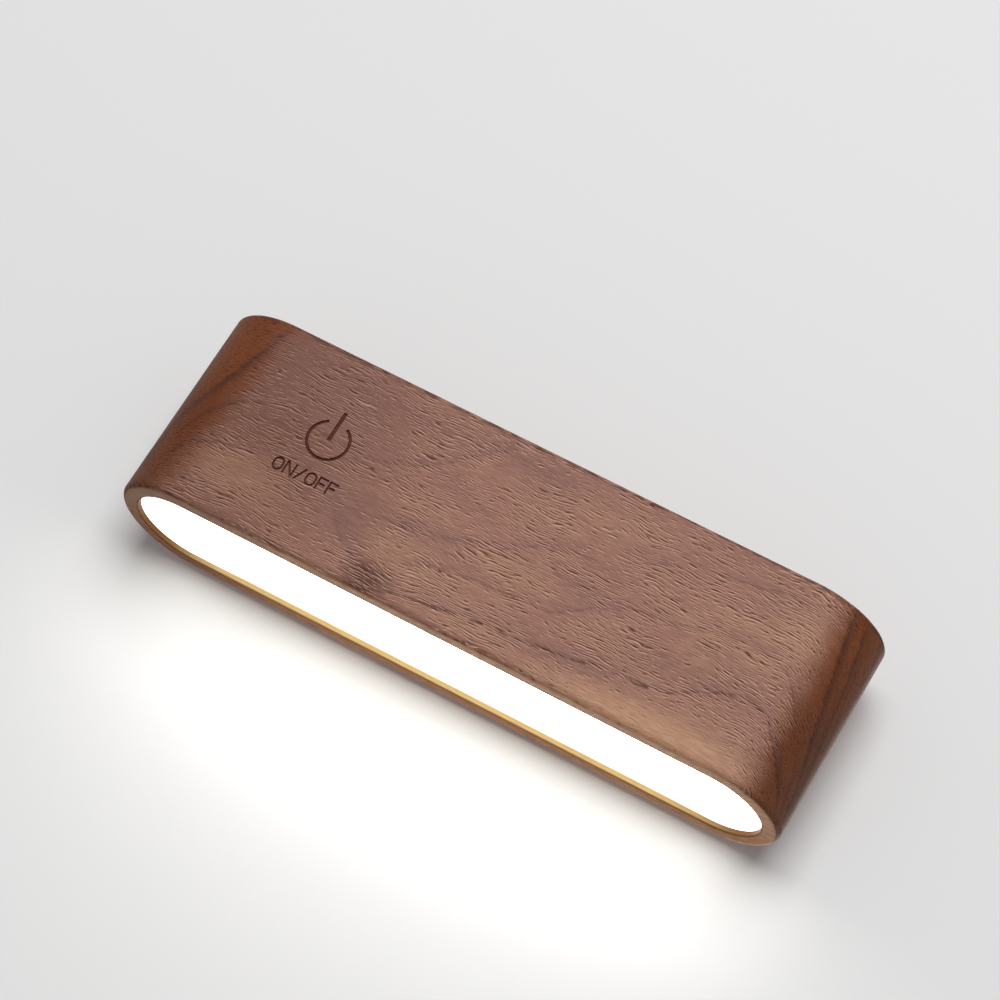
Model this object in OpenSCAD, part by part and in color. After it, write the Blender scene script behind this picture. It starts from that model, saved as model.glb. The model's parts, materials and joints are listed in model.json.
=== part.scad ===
// Cordless wall light: a walnut block with a glowing lower face, a touch mark cut in its front
// and a magnet on a turntable in its back, which holds it on a steel disc stuck to the wall.
// Millimetres. X runs along the block, +Y points into the wall, +Z is up, and the wall is the plane y = 0.
// The origin is on the wall, on the axis that the light turns about.

/* [Walnut block] */
// Length of the block
body_len = 200; // [180:1:260]
// Depth of the block, from its front face to its back face
body_depth = 41.5; // [38:0.5:60]
// Height of the block
body_height = 60; // [56:0.5:90]
// Wall left around the pocket
wall = 5.2; // [4:0.1:6]
// Closed top left above the pocket
top_thick = 8; // [5:0.5:12]
// Rounding of the outer rim around the top
rim_round = 1; // [0.4:0.1:2]
// Rounding of the outer rim around the lower face
foot_round = 1.8; // [0.4:0.1:2.5]
// Bevel inside the pocket's mouth
lip_bevel = 0.3; // [0.2:0.1:1]

/* [Touch mark] */
// Distance of the mark's centre from the left end
mark_from_end = 46.3; // [40:0.1:60]
// Height of the mark's centre above the block's lower rim
mark_height = 34; // [30:0.1:40]
// Depth of the cut lines
mark_depth = 0.5; // [0.2:0.1:1]
// Radius of the broken ring, at the middle of its line
ring_r = 5.8; // [4:0.1:8]
// Width of the ring's line
ring_line = 0.9; // [0.5:0.1:1.2]
// Angle of the gap at the top of the ring
ring_gap = 64; // [40:1:90]
// Length of the upright bar
bar_len = 9.3; // [6:0.1:12]
// Width of the upright bar
bar_line = 1.1; // [0.6:0.1:1.4]
// Distance from the ring's centre down to the top of the letters
letters_drop = 10.1; // [9:0.1:12]
// Height of the letters
letter_h = 4.1; // [2.5:0.1:5]
// Width of the letters' lines
letter_line = 0.55; // [0.4:0.05:0.7]
// Space between two letters
letter_gap = 0.35; // [0.3:0.05:1]

/* [Light] */
// Depth of the diffuser's face inside the lower rim
diffuser_recess = 1.5; // [1:0.1:4]
// Thickness of the opal diffuser
diffuser_t = 3; // [2:0.1:4]
// Mixing space between the diffuser and the chassis floor
mix_depth = 8; // [6:0.5:12]
// Thickness of the chassis floor
floor_t = 1.8; // [1.5:0.1:3]
// Thickness of the chassis skirt
skirt_t = 1.6; // [1.2:0.1:2.5]
// Width of the LED board
led_board_w = 16; // [14:0.5:20]
// Thickness of the LED board
led_board_t = 1.2; // [0.8:0.1:1.6]
// Spacing of the LEDs
led_pitch = 8; // [6:0.5:16]

/* [Battery] */
// Diameter of the cell
cell_d = 18.5; // [14:0.1:21]
// Length of the cell
cell_len = 65; // [50:0.5:70]
// Thickness of the straps over the cell
strap_t = 1; // [0.6:0.1:1.5]
// Width of the straps
strap_w = 6; // [4:0.5:8]

/* [Electronics] */
// Length of the driver board
board_len = 34; // [30:0.5:36]
// Width of the driver board
board_w = 24; // [22:0.5:26]
// Thickness of the driver board
board_t = 1.6; // [1:0.1:2]
// Height of the driver board above the chassis floor
standoff = 5; // [4:0.5:7]
// Width of the recess for a charging plug
port_w = 13.2; // [12.6:0.1:15]
// Height of the recess for a charging plug
port_h = 7.4; // [7:0.1:9]
// Depth of the recess for a charging plug
port_depth = 4.2; // [2:0.1:4.4]
// Diameter of the touch electrode
electrode_d = 13; // [10:0.5:18]

/* [Wall mount] */
// Gap left between the block's back and the wall
wall_gap = 0.6; // [0.4:0.1:0.8]
// Thickness of the adhesive pad
pad_t = 0.8; // [0.5:0.1:1.2]
// Diameter of the steel wall disc
disc_d = 24; // [20:0.5:28]
// Thickness of the steel wall disc
disc_t = 2; // [1.5:0.1:3]
// Thickness of the soft face on the magnet
face_pad_t = 0.4; // [0.3:0.1:0.8]
// Diameter of the magnet's steel cup
pot_d = 20; // [16:0.5:22]
// Height of the magnet's steel cup
pot_h = 5; // [4:0.1:7]
// Wall of the magnet's steel cup
pot_wall = 2; // [1.5:0.1:2.5]
// Width of the cup's flange, which the retaining ring traps
pot_flange_w = 2; // [1.5:0.1:3]
// Thickness of the cup's flange
pot_flange_t = 1.2; // [1:0.1:1.6]
// Thickness of the glide washer
washer_t = 0.5; // [0.3:0.1:1]
// Wall and floor of the plastic holder in the back
holder_t = 1.4; // [1.2:0.1:2]
// Thickness of the holder's flange
holder_flange_t = 1.6; // [1.4:0.1:2]

/* [Hidden] */
$fn = 72;
// How far a cut runs past the face that it opens
over = 1;

// Clearances
slip = 0.2;        // between the pocket and what slides into it
seat = 0.1;        // around a piece glued or pressed into its seat
thread_fit = 0.05; // around a screw in the hole that it cuts
screw_pass = 0.2;  // around a screw in a hole that it passes through
turn_gap = 0.4;    // around a piece that turns
turn_play = 0.2;   // end play of the trapped flange
disc_room = 1.2;   // around the wall disc in the holder's mouth
inner_gap = 0.7;   // between neighbours inside the block
strap_fit = 0.15;  // between the cell and its straps

// Depth positions, measured from the wall towards the room along -Y
back_d = wall_gap;
front_d = back_d + body_depth;
pocket_back_d = back_d + wall;
pocket_front_d = front_d - wall;
mid_d = (back_d + front_d) / 2;
disc_front_d = pad_t + disc_t;
pot_face_d = disc_front_d + face_pad_t;
pot_end_d = pot_face_d + pot_h;
washer_end_d = pot_end_d + washer_t;
holder_end_d = washer_end_d + holder_t;
ring_end_d = pot_end_d - pot_flange_t - turn_play;
ring_face_d = pot_face_d + turn_play;

// Radii about the turning axis
disc_r = disc_d / 2;
disc_bevel = 0.4;
pot_r = pot_d / 2;
magnet_r = pot_r - pot_wall - turn_gap;
pot_flange_r = pot_r + pot_flange_w;
cavity_r = pot_flange_r + turn_gap;
ring_shoulder = 0.6;
ring_bevel = 0.4;
ring_seat_r = cavity_r + ring_shoulder;
mouth_r = max(disc_r + disc_room, ring_seat_r + seat);
holder_r = mouth_r + holder_t;
holder_boss_w = 6;
holder_screw_x = holder_r + turn_gap + holder_boss_w / 2;
flange_edge = 3.4;
holder_flange_r = holder_screw_x + flange_edge;

// Heights, built up from the lower rim; the holder sits just above the chassis floor
holder_lift = 1.5;
diffuser_lift = diffuser_recess + diffuser_t;
floor_lift = diffuser_lift + mix_depth + floor_t;
bottom_z = -(floor_lift + holder_lift + holder_r);
top_z = bottom_z + body_height;
pocket_top_z = top_z - top_thick;
diffuser_z = bottom_z + diffuser_recess;
skirt_z = bottom_z + diffuser_lift;
under_floor_z = skirt_z + mix_depth;
floor_z = bottom_z + floor_lift;

// Plan of the block and its pocket
body_r = body_depth / 2;
run = body_len - body_depth;
pocket_r = body_r - wall;

// Cell, held clear of the magnet holder
cell_r = cell_d / 2;
cell_lift = 1;
cell_mid_d = holder_end_d + inner_gap + strap_t + strap_fit + cell_r;
cell_z = floor_z + cell_lift + cell_r;
cell_end_x = cell_len / 2;
strap_inset = 7.5;
strap_x = cell_end_x - strap_inset;
saddle_x = 10;
saddle_t = 3;
saddle_drop = 4;
tab_h = 8;
tab_w = 16;
tab_t = 0.3;
minus_offset = 6;
cell_edge = 0.8;

// LED board and chips
led_board_trim = 4;
led_board_len = run - led_board_trim;
led_board_z = under_floor_z - led_board_t;
led_count = floor((led_board_len - led_pitch) / led_pitch);
led_size = [3.5, 2.8, 0.8];
led_screw_inset = 10;
led_screw_edge = 2.5;
led_screw_y = led_board_w / 2 - led_screw_edge;
led_screw_bite = 1;
led_screw_len = led_board_t + floor_t + led_screw_bite;
led_boss_h = 2;

// Driver board, beside the cell, with the charging socket over its back edge
board_gap = 9;
socket_overhang = 2;
board_right_x = -cell_end_x - board_gap;
board_mid_x = board_right_x - board_len / 2;
board_back_d = pocket_back_d + slip + socket_overhang;
board_z = floor_z + standoff;
board_top_z = board_z + board_t;
board_screw_inset = 2.6;
board_screw_end = 1.6;
board_screw_len = board_t + standoff - board_screw_end;

// Charging socket, in its usual size, and the bezel and light pipe beside it
socket_w = 8.94;
socket_h = 3.26;
socket_len = 7.3;
socket_cavity = 6.2;
socket_shell = 0.3;
tongue = [6.7, 4.6, 0.7];
bezel_gap = 0.25;
socket_z = board_top_z + socket_h / 2;
pipe_r = 1;
pipe_reach = 4;
pipe_offset = 2.6;
pipe_x = board_mid_x + port_w / 2 + pipe_offset;
charge_led = [1.6, 0.8, 2];

// Parts on the driver board: share of its length from the right, share of its width from the back, and size
board_blocks = [[0.4, 0.55, [5, 4, 1.2]], [0.86, 0.55, [3, 3, 1]], [0.68, 0.86, [4, 3, 0.9]]];
small_block = [1.6, 0.8, 0.8];
small_blocks = [[0.86, 0.25], [0.86, 0.33], [0.86, 0.41]];
coil_place = [0.68, 0.62];
coil_size = [6, 3];

// Small self-tapping screws
screw_r = 0.95;
screw_head_r = 1.9;
screw_head_h = 1.3;
holder_screw_r = 1.2;
holder_screw_head_r = 2.3;
holder_screw_end = 1;
holder_screw_len = holder_end_d - back_d - holder_screw_end;
boss_wall = 1.4;
recess_w = 0.5;
recess_span = 1.4;
recess_depth = 0.8;

// Touch electrode, behind the mark
mark_x = -body_len / 2 + mark_from_end;
mark_z = bottom_z + mark_height;
electrode_t = 0.3;

// Widths of the letters, in proportion to their height
o_w = letter_h * 0.76;
n_w = letter_h * 0.76;
slash_w = letter_h * 0.66;
f_w = letter_h * 0.67;
f_arm_rise = letter_h * 0.52;
f_arm_w = f_w * 0.85;
letters_w = 2 * o_w + n_w + slash_w + 2 * f_w + 5 * letter_gap;

// Insulated leads
lead_d = 1.2;
lead_sides = 6;
lead_steps = 5;
lead_rise = 5;
lead_space = 1.8;
solder_inset = 7;
solder_x = board_right_x - solder_inset;
led_pad_v = 20;
led_hole_x = -cell_end_x - board_gap / 2;
led_hole_offset = 5;
led_hole_y = -mid_d - led_hole_offset;
led_hole_room = 1;
led_hole_r = lead_space / 2 + lead_d / 2 + led_hole_room;
touch_pad_u = 14;

// Shapes shared by the pieces
module pill_2d(w, h) {
    square([w - h, h], center = true);
    for (side = [-1, 1]) translate([side * (w - h) / 2, 0]) circle(d = h);
}

// A prism along Z whose plan is a straight run with half-round ends
module pill(r, z, h) {
    translate([0, -mid_d, z]) linear_extrude(h) pill_2d(run + 2 * r, 2 * r);
}

// The same plan with a shaped rim: first child is half of the section, second child is all of it
module shaped_pill() {
    translate([0, -mid_d, 0]) {
        for (end = [0, 1]) mirror([end, 0, 0]) translate([run / 2, 0, 0]) rotate([0, 0, -90])
            rotate_extrude(angle = 180) children(0);
        translate([-run / 2, 0, 0]) rotate([90, 0, 90]) linear_extrude(run) children(1);
    }
}

// Section of the block: a rectangle with its corners rounded, more at the foot than at the top
module block_section() {
    translate([-body_r, bottom_z + foot_round]) square([2 * body_r, body_height - foot_round - rim_round]);
    translate([foot_round - body_r, bottom_z]) square([2 * (body_r - foot_round), 2 * foot_round]);
    translate([rim_round - body_r, top_z - 2 * rim_round]) square([2 * (body_r - rim_round), 2 * rim_round]);
    for (side = [-1, 1]) {
        translate([side * (body_r - foot_round), bottom_z + foot_round]) circle(foot_round);
        translate([side * (body_r - rim_round), top_z - rim_round]) circle(rim_round);
    }
}

module half_of() {
    intersection() {
        children();
        translate([0, bottom_z - over]) square([body_depth, body_height + 2 * over]);
    }
}

// Section of the bevel at the pocket's mouth
module lip_section() {
    wide = pocket_r + lip_bevel;
    polygon([[-wide, bottom_z - over], [wide, bottom_z - over], [wide, bottom_z],
             [pocket_r, bottom_z + lip_bevel], [-pocket_r, bottom_z + lip_bevel], [-wide, bottom_z]]);
}

// Turns a radius and depth section about the axis that runs into the wall
module turned() {
    rotate([90, 0, 0]) rotate_extrude() children();
}

// A round hole or pin along Y, from one depth to another
module along_y(r, from_d, to_d) {
    translate([0, -from_d, 0]) rotate([90, 0, 0]) cylinder(r = r, h = to_d - from_d);
}

// A prism along Y of a shape drawn in X and Z, from one depth to another
module prism_y(from_d, to_d) {
    translate([0, -from_d, 0]) rotate([90, 0, 0]) linear_extrude(to_d - from_d) children();
}

module cross_recess(r) {
    for (turn = [0, 90]) rotate(turn) cube([recess_span * r, recess_w, 2 * recess_depth], center = true);
}

// A pan-head screw: its head above z = 0, its shank below
module pan_screw(len) {
    difference() {
        union() {
            cylinder(r = screw_head_r, h = screw_head_h);
            translate([0, 0, -len]) cylinder(r = screw_r, h = len);
        }
        translate([0, 0, screw_head_h]) cross_recess(screw_head_r);
    }
}

// A countersunk screw: its flat face at z = 0, its shank below
module sunk_screw(len, r, head_r, grow) {
    cone = head_r - r;
    translate([0, 0, -cone]) cylinder(r1 = r + grow, r2 = head_r + grow, h = cone);
    translate([0, 0, -len]) cylinder(r = r + grow, h = len - cone);
}

module led_screw_places() {
    for (x = [-1, 1], y = [-1, 1])
        translate([x * (led_board_len / 2 - led_screw_inset), y * led_screw_y - mid_d, 0]) children();
}

module board_screw_places() {
    near = board_screw_inset;
    for (u = [near, board_len - near], v = [near, board_w - near])
        translate([board_right_x - u, -board_back_d - v, 0]) children();
}

module holder_screw_places() {
    for (side = [-1, 1]) translate([side * holder_screw_x, 0, 0]) children();
}

// A slanted line of the letters, from the left lower corner of its box to the right upper one
module slant(w) {
    foot = letter_line * norm([w, letter_h]) / letter_h;
    polygon([[0, 0], [foot, 0], [w, letter_h], [w - foot, letter_h]]);
}

module letter_o(w) {
    translate([w / 2, letter_h / 2]) rotate(90) difference() {
        pill_2d(letter_h, w);
        pill_2d(letter_h - 2 * letter_line, w - 2 * letter_line);
    }
}

module letter_n(w) {
    for (x = [0, w - letter_line]) translate([x, 0]) square([letter_line, letter_h]);
    translate([w, 0]) mirror([1, 0]) slant(w);
}

module letter_f(w) {
    square([letter_line, letter_h]);
    translate([0, letter_h - letter_line]) square([w, letter_line]);
    translate([0, f_arm_rise - letter_line / 2]) square([f_arm_w, letter_line]);
}

// ON/OFF in plain single lines, its left lower corner at the origin
module on_off() {
    n_at = o_w + letter_gap;
    slash_at = n_at + n_w + letter_gap;
    second_o_at = slash_at + slash_w + letter_gap;
    f_at = second_o_at + o_w + letter_gap;
    letter_o(o_w);
    translate([n_at, 0]) letter_n(n_w);
    translate([slash_at, 0]) slant(slash_w);
    translate([second_o_at, 0]) letter_o(o_w);
    translate([f_at, 0]) letter_f(f_w);
    translate([f_at + f_w + letter_gap, 0]) letter_f(f_w);
}

module power_sign() {
    reach = 2 * ring_r;
    half = ring_gap / 2;
    difference() {
        circle(ring_r + ring_line / 2);
        circle(ring_r - ring_line / 2);
        polygon([[0, 0], [reach * sin(half), reach * cos(half)], [-reach * sin(half), reach * cos(half)]]);
    }
    for (side = [-1, 1]) translate([side * ring_r * sin(half), ring_r * cos(half)]) circle(d = ring_line);
    translate([-bar_line / 2, 0]) square([bar_line, bar_len]);
}

// A smooth line through a list of points: its place and its heading, at t spans from the start
function corner_points(p, t) =
    let (last = len(p) - 1, i = min(floor(t), last - 1))
    [p[max(i - 1, 0)], p[i], p[i + 1], p[min(i + 2, last)], t - i];
function place_on(p, t) =
    let (q = corner_points(p, t), u = q[4])
    (2 * q[1] + (q[2] - q[0]) * u + (2 * q[0] - 5 * q[1] + 4 * q[2] - q[3]) * u * u
     + (3 * q[1] - q[0] - 3 * q[2] + q[3]) * u * u * u) / 2;
function heading_on(p, t) =
    let (q = corner_points(p, t), u = q[4],
         h = q[2] - q[0] + 2 * (2 * q[0] - 5 * q[1] + 4 * q[2] - q[3]) * u
             + 3 * (3 * q[1] - q[0] - 3 * q[2] + q[3]) * u * u)
    h / norm(h);

// An insulated lead swept along a route; side is a direction that the route never runs along
module lead(route, side) {
    rings = (len(route) - 1) * lead_steps;
    points = [for (i = [0:rings])
        let (t = i / lead_steps, h = heading_on(route, t),
             n = cross(h, side) / norm(cross(h, side)), m = cross(h, n))
        for (k = [0:lead_sides - 1])
            let (a = 360 * k / lead_sides) place_on(route, t) + lead_d / 2 * (cos(a) * n + sin(a) * m)];
    walls = [for (i = [0:rings - 1], k = [0:lead_sides - 1])
        let (a = i * lead_sides + k, b = i * lead_sides + (k + 1) % lead_sides,
             c = a + lead_sides, d = b + lead_sides)
        each [[a, c, b], [b, c, d]]];
    start_cap = [for (k = [0:lead_sides - 1]) k];
    end_cap = [for (k = [lead_sides - 1:-1:0]) rings * lead_sides + k];
    polyhedron(points, concat([start_cap, end_cap], walls));
}

// The pieces of the light

module wood_shell() {
    color("#6b4434") difference() {
        shaped_pill() {
            half_of() block_section();
            block_section();
        }
        pill(pocket_r, bottom_z - over, pocket_top_z - bottom_z + over);
        shaped_pill() {
            half_of() lip_section();
            lip_section();
        }
        along_y(holder_r + slip, back_d - over, pocket_back_d + over);
        along_y(holder_flange_r + slip, back_d - over, back_d + holder_flange_t);
        holder_screw_places() along_y(holder_screw_r + screw_pass, back_d, pocket_back_d + over);
        translate([board_mid_x, 0, socket_z])
            prism_y(back_d - over, pocket_back_d + over) pill_2d(port_w, port_h);
        translate([pipe_x, 0, socket_z]) along_y(pipe_r + seat, back_d - over, pocket_back_d + over);
        translate([mark_x, 0, mark_z]) prism_y(front_d - mark_depth, front_d + over) {
            power_sign();
            translate([-letters_w / 2, -letters_drop - letter_h]) on_off();
        }
    }
}

module diffuser() {
    color("#fffdf6") pill(pocket_r - slip, diffuser_z, diffuser_t);
}

// White tray that slides up into the pocket: a light box below its floor, and seats for the rest above
module chassis() {
    color("#eeeeea") difference() {
        union() {
            pill(pocket_r - slip, skirt_z, mix_depth + floor_t);
            led_screw_places() translate([0, 0, floor_z]) cylinder(r = screw_r + boss_wall, h = led_boss_h);
            board_screw_places() translate([0, 0, floor_z]) cylinder(r = screw_r + boss_wall, h = standoff);
            for (side = [-1, 1]) {
                translate([side * saddle_x - saddle_t / 2, -cell_mid_d - cell_r, floor_z])
                    cube([saddle_t, cell_d, cell_z - floor_z - saddle_drop]);
                translate([side * holder_screw_x - holder_boss_w / 2, -holder_end_d, floor_z])
                    cube([holder_boss_w, holder_end_d - pocket_back_d - slip, holder_boss_w / 2 - floor_z]);
            }
        }
        pill(pocket_r - slip - skirt_t, skirt_z - over, mix_depth + over);
        translate([-cell_len, -cell_mid_d, cell_z]) rotate([0, 90, 0])
            cylinder(r = cell_r + seat, h = 2 * cell_len);
        for (x = [-1, 1], y = [-1, 1])
            translate([x * strap_x, y * (cell_r + strap_fit + strap_t / 2) - cell_mid_d, floor_z])
                cube([strap_w + 2 * slip, strap_t + 2 * slip, 2 * floor_t + over], center = true);
        led_screw_places() translate([0, 0, under_floor_z - over])
            cylinder(r = screw_r + thread_fit, h = floor_t + led_boss_h + 2 * over);
        board_screw_places() translate([0, 0, board_top_z - board_screw_len - over])
            cylinder(r = screw_r + thread_fit, h = board_screw_len + over);
        holder_screw_places()
            along_y(holder_screw_r + thread_fit, pocket_back_d - over, holder_end_d + over);
        translate([led_hole_x, led_hole_y, under_floor_z - over])
            cylinder(r = led_hole_r, h = floor_t + 2 * over);
    }
}

module led_board() {
    color("#f4f4f2") difference() {
        translate([-led_board_len / 2, -mid_d - led_board_w / 2, led_board_z])
            cube([led_board_len, led_board_w, led_board_t]);
        led_screw_places() translate([0, 0, led_board_z - over])
            cylinder(r = screw_r + screw_pass, h = led_board_t + 2 * over);
    }
}

module led_chips() {
    color("#f3d77a") for (i = [0:led_count - 1])
        translate([(i - (led_count - 1) / 2) * led_pitch, -mid_d, led_board_z - led_size.z / 2])
            cube(led_size, center = true);
}

module led_board_screws() {
    color("#9a9da0") led_screw_places()
        translate([0, 0, led_board_z]) mirror([0, 0, 1]) pan_screw(led_screw_len);
}

module battery_cell() {
    color("#3f7fb5") translate([-cell_end_x, -cell_mid_d, cell_z]) rotate([0, 90, 0]) rotate_extrude() {
        translate([0, cell_edge]) square([cell_r, cell_len - 2 * cell_edge]);
        square([cell_r - cell_edge, cell_len]);
        for (end = [cell_edge, cell_len - cell_edge]) translate([cell_r - cell_edge, end]) intersection() {
            circle(cell_edge);
            translate([0, -cell_edge]) square(2 * cell_edge);
        }
    }
}

module cell_tabs() {
    color("#c9ccd0") for (side = [-1, 1])
        translate([side * (cell_end_x + tab_t / 2), -cell_mid_d, cell_z])
            cube([tab_t, tab_w, tab_h], center = true);
}

// Two plastic straps over the cell, with legs pushed into slots of the chassis floor
module battery_straps() {
    inner = cell_r + strap_fit;
    leg = cell_z - under_floor_z - thread_fit;
    color("#2c2d2f") for (side = [-1, 1])
        translate([side * strap_x - strap_w / 2, -cell_mid_d, cell_z])
        rotate([90, 0, 90]) linear_extrude(strap_w) {
            difference() {
                circle(inner + strap_t);
                circle(inner);
                translate([-2 * inner, -4 * inner]) square(4 * inner);
            }
            for (edge = [inner, -inner - strap_t]) translate([edge, -leg]) square([strap_t, leg]);
        }
}

module driver_board() {
    color("#1f5d3a") difference() {
        translate([board_right_x - board_len, -board_back_d - board_w, board_z])
            cube([board_len, board_w, board_t]);
        board_screw_places() translate([0, 0, board_z - over])
            cylinder(r = screw_r + screw_pass, h = board_t + 2 * over);
    }
}

// A part on the driver board: place across and down from the board's back right corner
module on_board(u, v) {
    translate([board_right_x - u, -board_back_d - v, board_top_z]) children();
}

module block_part(size) {
    translate([-size.x / 2, -size.y / 2, 0]) cube(size);
}

module driver_components() {
    color("#33363a") {
        on_board(board_len * coil_place.x, board_w * coil_place.y)
            cylinder(d = coil_size.x, h = coil_size.y);
        for (b = board_blocks) on_board(board_len * b[0], board_w * b[1]) block_part(b[2]);
        for (b = small_blocks) on_board(board_len * b.x, board_w * b.y) block_part(small_block);
        on_board(board_right_x - pipe_x, pocket_back_d + pipe_reach - board_back_d + charge_led.y)
            block_part(charge_led);
    }
}

module driver_board_screws() {
    color("#9a9da0") board_screw_places() translate([0, 0, board_top_z]) pan_screw(board_screw_len);
}

module usb_socket() {
    face_d = pocket_back_d + slip;
    color("#c4c7ca") translate([board_mid_x, 0, socket_z]) {
        difference() {
            prism_y(face_d, face_d + socket_len) pill_2d(socket_w, socket_h);
            prism_y(face_d - over, face_d + socket_cavity)
                pill_2d(socket_w - 2 * socket_shell, socket_h - 2 * socket_shell);
        }
        translate([-tongue.x / 2, -face_d - socket_cavity - over / 2, -tongue.z / 2])
            cube([tongue.x, tongue.y + over / 2, tongue.z]);
    }
}

module port_bezel() {
    color("#202123") translate([board_mid_x, 0, socket_z]) difference() {
        prism_y(back_d + port_depth, pocket_back_d) pill_2d(port_w - 2 * seat, port_h - 2 * seat);
        prism_y(back_d, pocket_back_d + over) pill_2d(socket_w + 2 * bezel_gap, socket_h + 2 * bezel_gap);
    }
}

module charge_light_pipe() {
    color("#e8f2ff") translate([pipe_x, 0, socket_z]) along_y(pipe_r, back_d, pocket_back_d + pipe_reach);
}

module touch_electrode() {
    color("#b8733a") translate([mark_x, 0, mark_z])
        along_y(electrode_d / 2, pocket_front_d - electrode_t, pocket_front_d);
}

module touch_lead() {
    start = [board_right_x - touch_pad_u, -board_back_d - led_pad_v, board_top_z];
    finish = [mark_x, electrode_t - pocket_front_d, mark_z];
    color("#d8d8d4")
        lead([start, start + [0, 0, lead_rise], finish + [0, lead_rise, 0], finish], [1, 0, 0]);
}

module battery_leads() {
    over_z = cell_z + cell_r + strap_fit + strap_t + lead_d;
    plus = [cell_end_x + tab_t, -cell_mid_d, cell_z];
    minus = [-cell_end_x - tab_t, minus_offset - cell_mid_d, cell_z];
    plus_pad = [solder_x, -cell_mid_d, board_top_z];
    minus_pad = [solder_x, minus_offset - cell_mid_d, board_top_z];
    bend = lead_rise;
    round_end = [cell_end_x + bend, -cell_mid_d, cell_z + cell_r / 2];
    color("#a32a25")
        lead([plus, plus + [bend / 2, 0, 0], round_end,
              [cell_end_x - bend, -cell_mid_d, over_z], [0, -cell_mid_d, over_z],
              [bend - cell_end_x, -cell_mid_d, over_z], plus_pad + [0, 0, 2 * bend],
              plus_pad + [0, 0, bend], plus_pad], [0, 1, 0]);
    color("#232323")
        lead([minus, minus - [bend / 2, 0, 0], minus_pad + [bend, 0, 2 * bend],
              minus_pad + [0, 0, bend], minus_pad], [0, 1, 0]);
}

module led_leads() {
    for (side = [-1, 1]) {
        start = [led_hole_x, led_hole_y + side * lead_space / 2, under_floor_z];
        finish = [solder_x, side * lead_space / 2 - board_back_d - led_pad_v, board_top_z];
        color("#c9c6b8")
            lead([start, start + [0, 0, floor_t + standoff], finish + [lead_rise, 0, 2 * lead_rise],
                  finish + [0, 0, lead_rise], finish], [0, 1, 0]);
    }
}

// Plastic holder let into the back: a mouth for the wall disc, a seat for the ring, room for the flange
module magnet_holder() {
    color("#232426") difference() {
        turned() difference() {
            union() {
                translate([0, back_d]) square([holder_flange_r, holder_flange_t]);
                translate([0, back_d]) square([holder_r, holder_end_d - back_d]);
            }
            translate([0, back_d - over]) square([mouth_r, ring_face_d - back_d + over]);
            translate([0, ring_face_d - over]) square([ring_seat_r, ring_end_d - ring_face_d + over]);
            translate([0, ring_end_d - over]) square([cavity_r, washer_end_d - ring_end_d + over]);
        }
        holder_screw_places() translate([0, -back_d, 0]) rotate([-90, 0, 0])
            sunk_screw(holder_flange_t + over, holder_screw_r, holder_screw_head_r, screw_pass);
    }
}

module retaining_ring() {
    inner = pot_r + turn_gap;
    outer = ring_seat_r - seat;
    color("#34363a") turned()
        polygon([[inner + ring_bevel, ring_face_d], [outer, ring_face_d], [outer, ring_end_d],
                 [inner, ring_end_d], [inner, ring_face_d + ring_bevel]]);
}

module glide_washer() {
    hole_r = magnet_r / 2;
    color("#f0efe9") turned()
        translate([hole_r, pot_end_d]) square([pot_flange_r - seat - hole_r, washer_t]);
}

module holder_screws() {
    color("#8f9296") holder_screw_places()
        translate([0, -back_d - seat, 0]) rotate([-90, 0, 0]) difference() {
            sunk_screw(holder_screw_len, holder_screw_r, holder_screw_head_r, 0);
            cross_recess(holder_screw_head_r);
        }
}

module magnet_cup() {
    color("#b9bdc1") turned() difference() {
        union() {
            translate([0, pot_face_d]) square([pot_r, pot_h]);
            translate([0, pot_end_d - pot_flange_t]) square([pot_flange_r, pot_flange_t]);
        }
        translate([0, pot_face_d - over]) square([magnet_r + turn_gap, pot_h - pot_flange_t + over]);
    }
}

module magnet() {
    color("#7d8085") turned() translate([0, pot_face_d]) square([magnet_r, pot_h - pot_flange_t]);
}

module face_pad() {
    color("#2a2a2c") turned() translate([0, disc_front_d]) square([pot_r - seat, face_pad_t]);
}

module wall_disc() {
    color("#c3c6c9") turned() polygon([[0, pad_t], [disc_r, pad_t], [disc_r, disc_front_d - disc_bevel],
                                       [disc_r - disc_bevel, disc_front_d], [0, disc_front_d]]);
}

module adhesive_pad() {
    color("#d9d4c8") turned() square([disc_r - seat, pad_t]);
}

wood_shell();
diffuser();
chassis();
led_board();
led_chips();
led_board_screws();
battery_cell();
cell_tabs();
battery_straps();
driver_board();
driver_components();
driver_board_screws();
usb_socket();
port_bezel();
charge_light_pipe();
touch_electrode();
touch_lead();
battery_leads();
led_leads();
magnet_holder();
retaining_ring();
glide_washer();
holder_screws();
magnet_cup();
magnet();
face_pad();
wall_disc();
adhesive_pad();
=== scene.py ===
import json

import bpy
from mathutils import Matrix, Vector

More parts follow.
